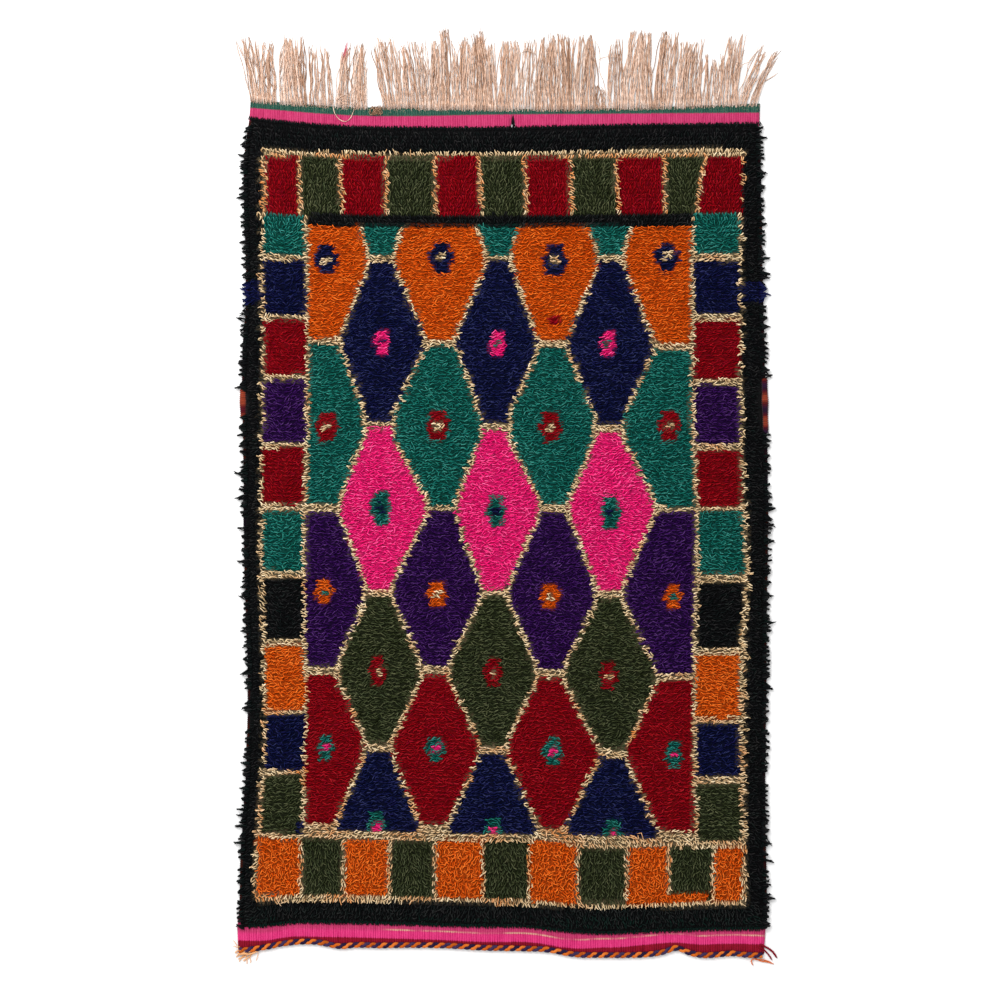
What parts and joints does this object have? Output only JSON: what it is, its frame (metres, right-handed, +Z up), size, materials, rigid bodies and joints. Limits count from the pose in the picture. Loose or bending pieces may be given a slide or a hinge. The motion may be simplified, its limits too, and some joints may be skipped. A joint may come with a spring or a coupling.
{
  "type": "tulu rug",
  "caption": "Flat shaggy hand-knotted rug with a lozenge lattice, flat-woven ends, a twisted cord at one end and a warp fringe at the other.",
  "frame": {"origin": "on the floor, under the middle of the whole rug with its fringe", "axes": "+Y along the rug towards its fringe, +X across it, +Z up out of the pile"},
  "size_m": [0.987, 1.6942, 0.0261],
  "materials": {
    "flat_weave": "fine weft-faced flat weave in pink with grey-green and dark red stripes",
    "pile_wool": "long loose wool pile in black, red, olive, teal, navy, orange, pink and purple with beige outlines",
    "selvedge_wool": "wool wrapped round the edge cords in rust, dark red and purple",
    "warp_yarn": "undyed pinkish beige warp yarn",
    "cord_wool": "orange and navy wool plies twisted together",
    "loose_orange_wool": "frayed pale orange wool",
    "loose_red_wool": "loose dark red wool yarn"
  },
  "bodies": {
    "root": {"ground_weave": "flat_weave", "pile": "pile_wool", "selvedge_left": "selvedge_wool", "selvedge_right": "selvedge_wool", "fringe": "warp_yarn", "edge_cord": "cord_wool", "corner_ends_left": "loose_orange_wool", "corner_ends_right": "loose_red_wool"}
  },
  "joints": []
}
